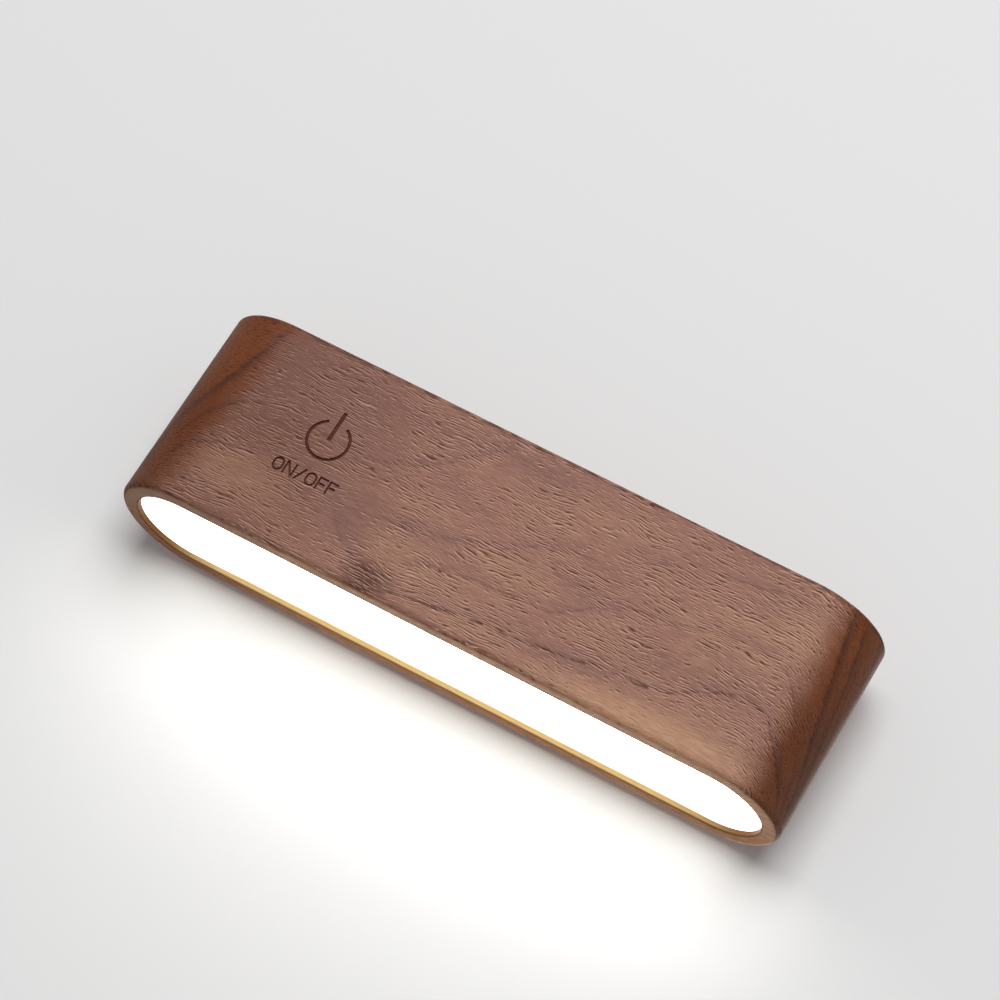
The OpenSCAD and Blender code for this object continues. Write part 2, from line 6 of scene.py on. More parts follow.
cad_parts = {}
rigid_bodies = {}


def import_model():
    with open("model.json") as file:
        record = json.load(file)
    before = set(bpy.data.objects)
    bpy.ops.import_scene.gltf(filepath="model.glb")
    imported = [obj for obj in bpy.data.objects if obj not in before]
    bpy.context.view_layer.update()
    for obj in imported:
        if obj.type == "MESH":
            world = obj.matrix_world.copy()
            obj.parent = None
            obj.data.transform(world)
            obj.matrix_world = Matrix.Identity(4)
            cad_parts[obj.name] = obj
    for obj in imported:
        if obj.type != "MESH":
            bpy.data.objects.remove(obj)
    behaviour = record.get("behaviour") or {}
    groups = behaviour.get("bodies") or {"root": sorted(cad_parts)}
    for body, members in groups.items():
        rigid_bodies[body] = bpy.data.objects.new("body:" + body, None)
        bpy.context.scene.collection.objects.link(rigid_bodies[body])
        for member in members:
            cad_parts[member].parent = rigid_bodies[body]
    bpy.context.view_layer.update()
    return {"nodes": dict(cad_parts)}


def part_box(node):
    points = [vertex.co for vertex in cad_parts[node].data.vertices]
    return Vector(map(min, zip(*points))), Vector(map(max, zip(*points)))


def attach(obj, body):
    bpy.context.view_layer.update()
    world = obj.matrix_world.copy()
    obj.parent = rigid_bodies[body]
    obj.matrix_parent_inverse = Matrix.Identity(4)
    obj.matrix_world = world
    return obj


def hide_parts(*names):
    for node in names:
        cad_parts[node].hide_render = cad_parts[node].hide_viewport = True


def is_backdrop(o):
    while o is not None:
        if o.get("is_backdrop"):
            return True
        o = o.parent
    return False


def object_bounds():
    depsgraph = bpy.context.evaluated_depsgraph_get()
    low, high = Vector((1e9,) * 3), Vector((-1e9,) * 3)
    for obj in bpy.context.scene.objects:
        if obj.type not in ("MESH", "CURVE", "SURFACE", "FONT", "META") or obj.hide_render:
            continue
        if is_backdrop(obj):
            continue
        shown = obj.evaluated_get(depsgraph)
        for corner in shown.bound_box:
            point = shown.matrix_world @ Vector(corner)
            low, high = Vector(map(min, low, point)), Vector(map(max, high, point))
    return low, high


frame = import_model()
nodes = frame["nodes"]
scene = bpy.context.scene
scene.view_settings.view_transform = "Standard"
for spare in [o for o in scene.objects if o.type in ("CAMERA", "LIGHT") or o.name == "Cube"]:
    bpy.data.objects.remove(spare)


# Walnut block. One piece of oiled walnut with half-round ends and eased rims, milled out from below.
# The front is sawn along the grain: growth lines cross it as slow flames, and pores show as short dashes.
# The touch mark is burnt in after sanding, so the floors of its lines are darker than the wood around them.
def paint(code):
    """A colour written as on a paint card, in the linear values that the shader works with."""
    parts = [int(code[i:i + 2], 16) / 255 for i in (1, 3, 5)]
    return tuple(p / 12.92 if p <= 0.04045 else ((p + 0.055) / 1.055) ** 2.4 for p in parts) + (1.0,)


def add_node(tree, kind, feeds=None, **settings):
    made = tree.nodes.new(kind)
    for name, value in settings.items():
        setattr(made, name, value)
    for key, value in (feeds or {}).items():
        if isinstance(value, bpy.types.NodeSocket):
            tree.links.new(value, made.inputs[key])
        else:
            made.inputs[key].default_value = value
    return made


def calc(tree, operation, *values):
    return add_node(tree, "ShaderNodeMath", dict(enumerate(values)), operation=operation).outputs[0]


def apart(tree, first, second):
    """How far apart two values are."""
    return calc(tree, "ABSOLUTE", calc(tree, "SUBTRACT", first, second))


def slant(tree, across, up):
    """The straight distance that lies so far across and so far up."""
    return calc(tree, "SQRT", calc(tree, "MULTIPLY_ADD", across, across, calc(tree, "MULTIPLY", up, up)))


def ease(tree, value, low, high, start=0.0, end=1.0):
    """A smooth step from start to end as value goes from low to high."""
    made = add_node(tree, "ShaderNodeMapRange", {0: value, 1: low, 2: high, 3: start, 4: end},
                    interpolation_type="SMOOTHSTEP")
    return made.outputs[0]


def cloud(tree, place, sizes, detail=2.0, shift=(0.0, 0.0, 0.0)):
    """Soft noise from 0 to 1 whose lumps have the given sizes along X, Y and Z."""
    spread = add_node(tree, "ShaderNodeVectorMath", {0: place, 1: [1 / s for s in sizes], 2: shift},
                      operation="MULTIPLY_ADD").outputs[0]
    return add_node(tree, "ShaderNodeTexNoise", {"Vector": spread, "Scale": 1.0, "Detail": detail}).outputs[0]


def mixed(tree, share, first, second, blend_type="MIX"):
    made = add_node(tree, "ShaderNodeMix", {0: share, 6: first, 7: second},
                    data_type="RGBA", blend_type=blend_type)
    return made.outputs[2]


def in_mm(tree):
    """The point of the piece that is being shaded, in millimetres: as a vector and as its three parts."""
    spot = add_node(tree, "ShaderNodeTexCoord").outputs["Object"]
    place = add_node(tree, "ShaderNodeVectorMath", {0: spot, 3: 1000.0}, operation="SCALE").outputs[0]
    parts = add_node(tree, "ShaderNodeSeparateXYZ", {0: place}).outputs
    return place, parts[0], parts[1], parts[2]


def new_finish(name):
    made = bpy.data.materials.new(name)
    made.use_nodes = True
    return made, made.node_tree, made.node_tree.nodes["Principled BSDF"]


def dress(finish, *names):
    for name in names:
        nodes[name].material_slots[0].material = finish


shell_low, shell_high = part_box("wood_shell")
front_y, back_y = shell_low.y * 1000, shell_high.y * 1000
bottom_z, top_z = shell_low.z * 1000, shell_high.z * 1000
mid_y = (front_y + back_y) / 2
body_r = (back_y - front_y) / 2
run_half = shell_high.x * 1000 - body_r
wall_thick = 5.2
pocket_r = body_r - wall_thick
mark_x, mark_z = -53.7, 3.6

heartwood = paint("#956a5b")
purple_band = paint("#7f5951")
tan_band = paint("#a67c63")
pale_tan = paint("#b98d70")
smoky_brown = paint("#6e483c")
late_wood = paint("#4c2b20")
pore_brown = paint("#421a0b")
# Painted highlight: the colour of the thin lighter line below each pore, as if light from above caught its
# edge
painted_pore_highlight = paint("#d3a993")
end_brown = paint("#623417")
end_orange = paint("#743b16")
end_dark = paint("#401c0c")
end_red = paint("#622d06")
burnt_line = paint("#2e0900")
burnt_floor = paint("#571e03")
# The pocket's wall: painted light where the diffuser's glow falls on it, and painted shade towards the ends
painted_pocket_glow = paint("#f5d592")
shaded_pocket = paint("#6b4216")
mouth_line = paint("#5f4028")
# Two tans that are partly the sanded underside's own colour and partly painted light, the wall's glow bounced
# up onto it
painted_lit_tan = paint("#cb9d79")
painted_lit_warm_tan = paint("#c2875a")

walnut, tree, shade = new_finish("oiled_walnut")
place, x, y, z = in_mm(tree)


def round_the_block(tree, x, y):
    """How far a point is from the block's spine, and how far round its wall from the middle of the front."""
    along = calc(tree, "ABSOLUTE", x)
    past = calc(tree, "MAXIMUM", calc(tree, "SUBTRACT", along, run_half), 0.0)
    out = calc(tree, "SUBTRACT", mid_y, y)
    far = slant(tree, past, out)
    turned = calc(tree, "MULTIPLY", calc(tree, "ARCTAN2", past, out), body_r)
    short = calc(tree, "SUBTRACT", run_half, calc(tree, "MINIMUM", along, run_half))
    to_end = calc(tree, "SUBTRACT", run_half, calc(tree, "MULTIPLY", short, calc(tree, "SIGN", out)))
    return far, calc(tree, "MULTIPLY", calc(tree, "ADD", to_end, turned), calc(tree, "SIGN", x))


from_spine, girth = round_the_block(tree, x, y)

# Curl: the fibres run along X in slow waves, which lie flatter in the top
curl = calc(tree, "MULTIPLY_ADD", cloud(tree, place, (20, 30, 12)), 4.0, -2.0)
ripple = calc(tree, "MULTIPLY_ADD", cloud(tree, place, (5.5, 20, 8), shift=(3, 7, 1)), 0.4, -0.2)
flatter = ease(tree, z, top_z - 3.0, top_z - 0.5, 1.0, 0.4)
wave = calc(tree, "MULTIPLY", calc(tree, "ADD", curl, ripple), flatter)
push = add_node(tree, "ShaderNodeCombineXYZ", {1: calc(tree, "MULTIPLY", wave, 0.5), 2: wave}).outputs[0]
flow = add_node(tree, "ShaderNodeVectorMath", {0: place, 1: push}, operation="ADD").outputs[0]


def pores(tree, flow, spacing, length, thick, scarce, shift):
    """Hollow vessels side by side along the fibres: 1 in a pore, and 1 on the lighter painted highlight just
    below it.
    """
    along, depth, up = add_node(tree, "ShaderNodeSeparateXYZ", {0: flow}).outputs
    uneven = calc(tree, "MULTIPLY_ADD", cloud(tree, flow, (9, 5, 5), shift=(shift, 2, 6)), 1.1, shift)
    uneven = calc(tree, "MULTIPLY_ADD", cloud(tree, flow, (4.5, 1.3, 1.3), shift=(1, shift, 4)), 0.5, uneven)
    phase = calc(tree, "MULTIPLY_ADD", calc(tree, "MULTIPLY_ADD", depth, 0.6, up), 1 / spacing, uneven)
    lane = calc(tree, "FLOOR", phase)
    off = calc(tree, "SUBTRACT", calc(tree, "FRACT", phase), 0.5)
    spot = add_node(tree, "ShaderNodeCombineXYZ", {
        0: calc(tree, "MULTIPLY_ADD", lane, 7.31, calc(tree, "DIVIDE", along, length)),
        1: calc(tree, "DIVIDE", depth, 0.6), 2: calc(tree, "MULTIPLY", lane, 3.17)}).outputs[0]
    lot = add_node(tree, "ShaderNodeTexNoise", {"Vector": spot, "Scale": 1.0, "Detail": 1.0}).outputs[0]
    dash = ease(tree, lot, scarce, calc(tree, "ADD", scarce, 0.24))
    half_width = calc(tree, "MULTIPLY_ADD", dash, 0.7 * thick / spacing, 0.3 * thick / spacing)
    hollow = ease(tree, calc(tree, "ABSOLUTE", off), half_width, calc(tree, "MULTIPLY", half_width, 0.2))
    # Painted highlight: a thin lighter line just below the pore, where light from above would catch its edge
    from_lip = calc(tree, "ABSOLUTE", calc(tree, "ADD", off, 0.32 / spacing))
    below = ease(tree, from_lip, 0.2 / spacing, 0.04 / spacing)
    return calc(tree, "MULTIPLY", hollow, dash), calc(tree, "MULTIPLY", below, dash)


def patch(tree, run, at_run, at_z, wide, high):
    """A soft oval on the wall of the block, 1 at its middle."""
    across = calc(tree, "DIVIDE", calc(tree, "SUBTRACT", run, at_run), wide)
    up = calc(tree, "DIVIDE", calc(tree, "SUBTRACT", z, at_z), high)
    return ease(tree, slant(tree, across, up), 1.0, 0.1)


# Pores: crowded in some places and rare in others
scarce = ease(tree, cloud(tree, place, (17, 14, 9), shift=(5, 2, 8)), 0.36, 0.6, 0.5, 0.36)
for at, at_z, wide, high in ((64, -28, 42, 9), (-36, -10, 11, 15)):
    scarce = calc(tree, "MULTIPLY_ADD", patch(tree, girth, at, at_z, wide, high), 0.16, scarce)
fine_pore, fine_highlight = pores(tree, flow, 0.72, 2.5, 0.22, scarce, 0.0)
bold_pore, bold_highlight = pores(tree, flow, 1.17, 3.2, 0.28, calc(tree, "ADD", scarce, 0.06), 9.0)
pore = calc(tree, "MAXIMUM", calc(tree, "MULTIPLY", fine_pore, 0.7), bold_pore)
pore_highlight = calc(tree, "MULTIPLY", calc(tree, "MAXIMUM", fine_highlight, bold_highlight), calc(tree, "SUBTRACT", 1.0, pore))
fibre = cloud(tree, flow, (4, 0.7, 0.3), detail=3.0)

# Growth layers: nearly flat sheets through the whole block, which show on its back, top and ends
lean = calc(tree, "MULTIPLY_ADD", z, 0.3, y)
drift = calc(tree, "MULTIPLY_ADD", cloud(tree, flow, (40, 30, 16), shift=(1, 4, 2)), 9.0, -4.5)
layer = calc(tree, "ADD", lean, drift)
ring_from, ring_to = -54.0, 12.0
ring_span = ring_to - ring_from
along_ramp = calc(tree, "DIVIDE", calc(tree, "SUBTRACT", layer, ring_from), ring_span)
rings = add_node(tree, "ShaderNodeValToRGB", {0: along_ramp})
ramp = rings.color_ramp
for line in (-45.0, -37.5, -31.2, -26.4, -20.1, -14.8, -8.7, -3.9, 2.6, 7.4):
    for offset, dark in ((-0.5, 0.0), (0.0, 1.0), (2.0, 0.1)):
        stop = ramp.elements.new((line + offset - ring_from) / ring_span)
        stop.color = (dark, dark, dark, 1.0)
ramp.elements[0].color = (0, 0, 0, 1)
ramp.elements[-1].color = (0, 0, 0, 1)
off_front = ease(tree, y, front_y + 3, front_y + 14)
late = calc(tree, "MULTIPLY", rings.outputs[0], calc(tree, "MULTIPLY", off_front, 0.6))


def follow(tree, run, points, fade):
    """How far a drawn line has risen at each place along its run, and a share that fades at its two ends."""
    span = 260.0
    drawn = add_node(tree, "ShaderNodeFloatCurve", {"Value": calc(tree, "MULTIPLY_ADD", run, 1 / span, 0.5)})
    spots = [(along / span + 0.5, up / span + 0.5) for along, up in points]
    curve = drawn.mapping.curves[0]
    curve.points[0].location, curve.points[1].location = spots[0], spots[-1]
    for spot in spots[1:-1]:
        curve.points.new(*spot)
    drawn.mapping.update()
    height = calc(tree, "MULTIPLY_ADD", drawn.outputs[0], span, -span / 2)
    start, stop = points[0][0], points[-1][0]
    shown = calc(tree, "MULTIPLY", ease(tree, run, start, start + fade), ease(tree, run, stop, stop - fade))
    return height, shown


# Growth lines of the front, drawn from left to right, and of the ends, drawn from the lower rim upwards:
# the dark of the line, and how far and how strongly the darker wood beside it reaches
flames = [
    (((-24, -28.5), (-3, -24.8), (12, -23), (30, -21.1), (44, -18.9), (60, -16.7), (67.6, -12.3), (74, -9.7),
      (84.5, -10.1), (89, -14.5), (98.5, -24.8), (104, -33)), 1.0, 6.0, 0.45),
    (((-22, -25), (-14, -16.6), (-3, -13.8), (12, -12.8), (22.7, -11.6), (27, -9.2), (32.3, -5), (42.6, -0.5),
      (54.4, 1.3), (63.2, 3.9), (76.4, 4.6), (84.5, 2.4), (89, -2.7), (97, -15)), 0.4, 6.0, 0.35),
    (((-34, -9.9), (-17, -7.4), (1.4, -2.7), (10.2, 3.1), (19.8, 6.1), (27, 7.5)), 0.4, 5.0, 0.5),
    (((42, 18), (48.5, 18.6), (63.2, 20), (75, 22.6), (84, 20)), 0.5, 4.0, 0.3),
    (((-66, 6), (-45, 4.6), (-34, 6.2), (-24, 12), (-12.7, 22), (-5, 28)), 0.4, 8.0, 0.6),
    (((-54, -6), (-43.6, -11.6), (-38.5, -17.5), (-31, -23.3), (-24, -29)), 0.3, 10.0, 0.8),
    (((-96, -20), (-88, -5.7), (-81, 1.7), (-76.7, 4.6), (-66, 6.5)), 0.55, 4.0, 0.4),
    (((-95, -27), (-92.9, -21.9), (-90, -18.2), (-82.6, -12.3), (-72, -9.5)), 0.6, 4.0, 0.4)]
uprights = [
    (((-28, -101), (-9.4, -98.5), (3, -91), (17, -84), (30, -80)), 0.55, 5.0, 0.5),
    (((-31, 108), (-16, 102.9), (-5.7, 99.2), (11.2, 94.8), (25.2, 91.9), (31, 90.5)), 0.7, 4.0, 0.45),
    (((-31, 113), (-18, 107.5), (0.2, 102.6), (14.9, 99.5), (31, 95.5)), 0.6, 3.0, 0.4)]
broken = ease(tree, cloud(tree, flow, (5, 3, 1.2), shift=(6, 1, 5)), 0.42, 0.57, 0.08, 1.0)
swayed = calc(tree, "MULTIPLY_ADD", wave, 0.2, z)
smoke = 0.0
for run, rise, drawn_lines, half_width in ((girth, swayed, flames, 1.0), (swayed, girth, uprights, 1.4)):
    for points, dark, reach, shadow in drawn_lines:
        height, shown = follow(tree, run, points, 6.0)
        above = calc(tree, "SUBTRACT", rise, height)
        line = calc(tree, "MULTIPLY", ease(tree, calc(tree, "ABSOLUTE", above), half_width, 0.1), shown)
        late = calc(tree, "MAXIMUM", late, calc(tree, "MULTIPLY", calc(tree, "MULTIPLY", line, broken), dark))
        beside = calc(tree, "MULTIPLY", ease(tree, above, reach, 0.0), ease(tree, above, -0.5, 0.4))
        darker = calc(tree, "MULTIPLY", calc(tree, "MULTIPLY", beside, shown), shadow)
        smoke = calc(tree, "MAXIMUM", smoke, darker)

# Colour of the wood itself: tan and purple stretches, then the darker wood beside the growth lines
bands = cloud(tree, flow, (46, 14, 9), detail=1.5, shift=(2, 5, 3))
wood = mixed(tree, ease(tree, bands, 0.3, 0.5, 0.65, 0.0), heartwood, purple_band)
wood = mixed(tree, ease(tree, bands, 0.52, 0.72, 0.0, 0.6), wood, tan_band)
# Stretches of another colour: place along the wall and up, reach along and up, and strength
stretches = [
    (tan_band, 60, -27, 52, 9, 0.85), (tan_band, -20, -16, 24, 10, 0.5), (tan_band, 82, 14, 13, 13, 0.7),
    (tan_band, 24, 20, 22, 9, 0.35), (tan_band, -70, -17, 22, 12, 0.4), (tan_band, 10, -7, 22, 7, 0.4),
    (tan_band, 40, -10, 15, 8, 0.6), (tan_band, 0, -24, 24, 8, 0.45),
    (purple_band, -58, 16, 30, 15, 0.5), (purple_band, 50, -10, 26, 9, 0.4),
    (purple_band, -38, -14, 12, 12, 0.5), (purple_band, -45, 4, 26, 30, 0.2),
    (purple_band, 0, 26, 110, 13, 0.3), (smoky_brown, 72, -9, 24, 7, 0.3),
    (purple_band, 72, -1, 22, 11, 0.25), (pale_tan, 62, -29, 50, 9, 0.7)]
dusk = patch(tree, x, -76, 4, 66, 70)
wood = mixed(tree, calc(tree, "MULTIPLY", dusk, 0.9), wood, smoky_brown)
for colour, at, at_z, wide, high, amount in stretches:
    wood = mixed(tree, calc(tree, "MULTIPLY", patch(tree, girth, at, at_z, wide, high), amount), wood, colour)
wood = mixed(tree, smoke, wood, purple_band)
wood = mixed(tree, calc(tree, "MULTIPLY", patch(tree, girth, -24.5, -26.5, 10, 8), 0.9), wood, late_wood)

# The half-round ends turn into end grain, which takes more oil
ragged = calc(tree, "MULTIPLY_ADD", cloud(tree, place, (6, 5, 3), detail=3.0), 5.0, -2.5)
left_end = ease(tree, calc(tree, "ADD", calc(tree, "MULTIPLY_ADD", z, -0.12, girth), ragged), -75.0, -89.0)
right_end = ease(tree, calc(tree, "ADD", calc(tree, "MULTIPLY_ADD", z, 0.02, girth), ragged), 84.0, 95.0)
off_back = ease(tree, calc(tree, "MULTIPLY_ADD", ragged, 0.5, y), back_y - 0.6, back_y - 5.8)
below_top = ease(tree, z, top_z - 0.1, top_z - 1.0)
on_end = calc(tree, "MULTIPLY", calc(tree, "MAXIMUM", left_end, right_end),
              calc(tree, "MULTIPLY", off_back, below_top))
end_wood = mixed(tree, ease(tree, z, -14.0, 22.0, 0.0, 0.7), end_brown, end_orange)
for at, at_z, wide, high in ((-91, -7, 24, 20), (91, -14, 10, 11)):
    end_wood = mixed(tree, patch(tree, girth, at, at_z, wide, high), end_wood, end_red)
end_wood = mixed(tree, ease(tree, smoke, 0.0, 0.5, 0.0, 0.75), end_wood, end_dark)
wood = mixed(tree, calc(tree, "MULTIPLY", on_end, 0.94), wood, end_wood)
wood = mixed(tree, calc(tree, "MULTIPLY", late, 0.85), wood, mixed(tree, on_end, late_wood, end_dark))

# Fibres, pores with their painted highlights, eased rims painted partly lighter, the pocket's wall painted
# with the diffuser's glow, and the burnt mark
tone = ease(tree, fibre, 0.25, 0.75, 0.8, 1.2)
grey = add_node(tree, "ShaderNodeCombineColor", {0: tone, 1: tone, 2: tone}).outputs[0]
wood = mixed(tree, 1.0, wood, grey, "MULTIPLY")
# Painted highlights below the pores, nearly gone on the ends and weaker in the smoky patch at the left
highlight_share = calc(tree, "MULTIPLY", ease(tree, on_end, 0.0, 1.0, 0.8, 0.05),
               ease(tree, dusk, 0.1, 0.9, 1.0, 0.65))
wood = mixed(tree, calc(tree, "MULTIPLY", pore_highlight, highlight_share), wood, painted_pore_highlight)
wood = mixed(tree, calc(tree, "MULTIPLY", pore, 0.86), wood, pore_brown)
# The flat underside around the pocket: a pale tan, partly the sanded wood's own colour and partly painted
# light for the glow that the wall gives back onto it. It is streaked with the grain and darker towards the
# left end.
rim_painted_lit = mixed(tree, ease(tree, y, mid_y - 8, mid_y + 12), painted_lit_tan, painted_lit_warm_tan)
rim_painted_lit = mixed(tree, ease(tree, fibre, 0.35, 0.65, 0.35, 0.0), rim_painted_lit, late_wood)
rim_painted_lit = mixed(tree, ease(tree, x, -30.0, -90.0, 0.0, 0.6), rim_painted_lit, smoky_brown)
wood = mixed(tree, ease(tree, z, bottom_z + 0.3, bottom_z + 0.03, 0.0, 0.85), wood, rim_painted_lit)
top_edge = calc(tree, "MULTIPLY", ease(tree, z, top_z - 2.2, top_z - 0.8, 0.0, 0.75),
                ease(tree, from_spine, body_r - 2.5, body_r - 1.0))
wood = mixed(tree, calc(tree, "MULTIPLY", top_edge, broken), wood, late_wood)
# The pocket's wall is painted pale yellow with the diffuser's glow, with painted shade towards both ends
# where less glow reaches
towards_end = ease(tree, calc(tree, "ABSOLUTE", x), 60.0, 92.0)
pocket_with_painted_glow = mixed(tree, ease(tree, fibre, 0.3, 0.7, 0.0, 0.3), painted_pocket_glow, painted_lit_tan)
pocket_with_painted_glow = mixed(tree, towards_end, pocket_with_painted_glow, shaded_pocket)
in_pocket = calc(tree, "MULTIPLY", ease(tree, from_spine, pocket_r + 0.35, pocket_r + 0.1),
                 calc(tree, "LESS_THAN", z, top_z - 2.0))
wood = mixed(tree, in_pocket, wood, pocket_with_painted_glow)
at_mouth = calc(tree, "MULTIPLY", ease(tree, from_spine, pocket_r + 0.75, pocket_r + 0.35),
                ease(tree, z, bottom_z + 0.5, bottom_z + 0.25))
wood = mixed(tree, calc(tree, "MULTIPLY", at_mouth, 0.7), wood, mouth_line)
sunk = ease(tree, y, front_y + 0.02, front_y + 0.2)
beside_mark = calc(tree, "LESS_THAN", apart(tree, x, mark_x), 15.0)
level_with_mark = calc(tree, "LESS_THAN", apart(tree, z, mark_z - 1.3), 13.5)
shallow = calc(tree, "LESS_THAN", y, front_y + 0.6)
burnt = calc(tree, "MULTIPLY", calc(tree, "MULTIPLY", sunk, shallow),
             calc(tree, "MULTIPLY", beside_mark, level_with_mark))
scan_lines = cloud(tree, place, (0.35, 1.0, 0.9), detail=0.0)
on_floor = calc(tree, "MULTIPLY", ease(tree, y, front_y + 0.38, front_y + 0.48),
                ease(tree, scan_lines, 0.4, 0.6, 0.4, 1.0))
charred = mixed(tree, on_floor, burnt_line, burnt_floor)
wood = mixed(tree, calc(tree, "MULTIPLY", burnt, 0.95), wood, charred)

gloss = calc(tree, "MULTIPLY_ADD", pore, 0.2, ease(tree, fibre, 0.2, 0.8, 0.6, 0.48))
relief = calc(tree, "SUBTRACT", calc(tree, "MULTIPLY", fibre, 0.15), pore)
bump = add_node(tree, "ShaderNodeBump", {"Strength": 0.35, "Distance": 0.0001, "Height": relief})
tree.links.new(wood, shade.inputs["Base Color"])
tree.links.new(gloss, shade.inputs["Roughness"])
tree.links.new(bump.outputs[0], shade.inputs["Normal"])
shade.inputs["IOR"].default_value = 1.45
shade.inputs["Specular IOR Level"].default_value = 0.2
dress(walnut, "wood_shell")


# Touch electrode. A disc of thin copper foil, glued to the inside of the front wall behind the burnt mark.
# It is stamped from rolled sheet, and dulls unevenly where it has been handled.
def rolled_metal(name, bright, dull, streak, smooth, rough, dent=0.00002):
    """Sheet metal: long fine streaks of the given sizes in its colour and gloss."""
    finish, tree, shade = new_finish(name)
    place = in_mm(tree)[0]
    streaks = cloud(tree, place, streak, detail=3.0)
    stain = cloud(tree, place, (5, 5, 5), shift=(3, 1, 2))
    colour = mixed(tree, ease(tree, stain, 0.35, 0.65), paint(bright), paint(dull))
    tree.links.new(colour, shade.inputs["Base Color"])
    tree.links.new(ease(tree, streaks, 0.25, 0.75, smooth, rough), shade.inputs["Roughness"])
    bump = add_node(tree, "ShaderNodeBump", {"Strength": 0.3, "Distance": dent, "Height": streaks})
    tree.links.new(bump.outputs[0], shade.inputs["Normal"])
    shade.inputs["Metallic"].default_value = 1.0
    return finish, tree, shade


copper = rolled_metal("copper_foil", "#d08a5a", "#a9653d", (9.0, 0.4, 0.25), 0.28, 0.45)[0]
dress(copper, "touch_electrode")


# Chassis. One white moulding that slides up into the pocket: a light box below its floor, a cradle above.
# Its skin is the fine spark-eroded texture of the mould, and its colour shifts a little where the plastic
# flowed.
def shader_group(name, takes, gives):
    group = bpy.data.node_groups.new(name, "ShaderNodeTree")
    for label, kind in takes:
        group.interface.new_socket(label, in_out="INPUT", socket_type=kind)
    for label, kind in gives:
        group.interface.new_socket(label, in_out="OUTPUT", socket_type=kind)
    return group, add_node(group, "NodeGroupInput").outputs, add_node(group, "NodeGroupOutput").inputs


moulded_skin, given, result = shader_group(
    "moulded_skin", (("Place", "NodeSocketVector"), ("Grain", "NodeSocketFloat")),
    (("Tone", "NodeSocketFloat"), ("Relief", "NodeSocketFloat")))
finer = calc(moulded_skin, "DIVIDE", 1.0, given["Grain"])
spread = add_node(moulded_skin, "ShaderNodeVectorMath", {0: given["Place"], 3: finer}, operation="SCALE")
pits = add_node(moulded_skin, "ShaderNodeTexNoise",
                {"Vector": spread.outputs[0], "Scale": 1.0, "Detail": 2.0})
flow_marks = cloud(moulded_skin, given["Place"], (14, 14, 14))
moulded_skin.links.new(ease(moulded_skin, flow_marks, 0.3, 0.7), result["Tone"])
moulded_skin.links.new(pits.outputs[0], result["Relief"])


def moulding(name, colour, worn, smooth, rough, grain=0.3, depth=0.00003):
    """A plastic or rubber moulding, whose pits are grain millimetres wide."""
    finish, tree, shade = new_finish(name)
    place, x, y, z = in_mm(tree)
    skin = add_node(tree, "ShaderNodeGroup", {}, node_tree=moulded_skin)
    tree.links.new(place, skin.inputs["Place"])
    skin.inputs["Grain"].default_value = grain
    base = mixed(tree, skin.outputs["Tone"], paint(colour), paint(worn))
    tree.links.new(base, shade.inputs["Base Color"])
    tree.links.new(ease(tree, skin.outputs["Relief"], 0.3, 0.7, smooth, rough), shade.inputs["Roughness"])
    bump = add_node(tree, "ShaderNodeBump",
                    {"Strength": 0.4, "Distance": depth, "Height": skin.outputs["Relief"]})
    tree.links.new(bump.outputs[0], shade.inputs["Normal"])
    return finish, tree, shade, base


white_tray = moulding("white_moulding", "#eeede8", "#e6e4dd", 0.42, 0.58)[0]
dress(white_tray, "chassis")


# LED strip. A white-masked board under the chassis floor, with a row of LED packages between tinned pads.
# Four small plated screws hold it up, and the packages are soldered on at one pitch.
led_low, led_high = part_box("led_chips")
led_count = 18
led_size = (0.0035, 0.0028, led_high.z - led_low.z)
led_pitch = (led_high.x - led_low.x - led_size[0]) / (led_count - 1)
led_y = (led_low.y + led_high.y) / 2

strip_board, tree, shade = new_finish("strip_board")
place, x, y, z = in_mm(tree)
mask_waves = cloud(tree, place, (2.5, 1.2, 2.0))
first_gap = (led_low.x + led_size[0] / 2 - led_pitch / 2) * 1000
step = calc(tree, "DIVIDE", calc(tree, "SUBTRACT", x, first_gap), led_pitch * 1000)
from_led = calc(tree, "MULTIPLY", apart(tree, calc(tree, "FRACT", step), 0.5), led_pitch * 1000)
from_row = apart(tree, y, led_y * 1000)
pad_x = calc(tree, "MULTIPLY", ease(tree, from_led, 1.5, 1.6), ease(tree, from_led, 2.5, 2.4))
pad = calc(tree, "MULTIPLY", pad_x, ease(tree, from_row, 1.2, 1.1))
track = ease(tree, apart(tree, from_row, 4.2), 0.7, 0.6)
colour = mixed(tree, mask_waves, paint("#f4f4f0"), paint("#eae9e2"))
colour = mixed(tree, calc(tree, "MULTIPLY", track, 0.35), colour, paint("#d9d3c4"))
colour = mixed(tree, pad, colour, paint("#c9c7c0"))
tree.links.new(colour, shade.inputs["Base Color"])
tree.links.new(ease(tree, mask_waves, 0.2, 0.8, 0.25, 0.38), shade.inputs["Roughness"])
tree.links.new(pad, shade.inputs["Metallic"])
raised = calc(tree, "MULTIPLY_ADD", mask_waves, 0.2, track)
bump = add_node(tree, "ShaderNodeBump", {"Strength": 0.5, "Distance": 0.00004, "Height": raised})
tree.links.new(bump.outputs[0], shade.inputs["Normal"])
dress(strip_board, "led_board")

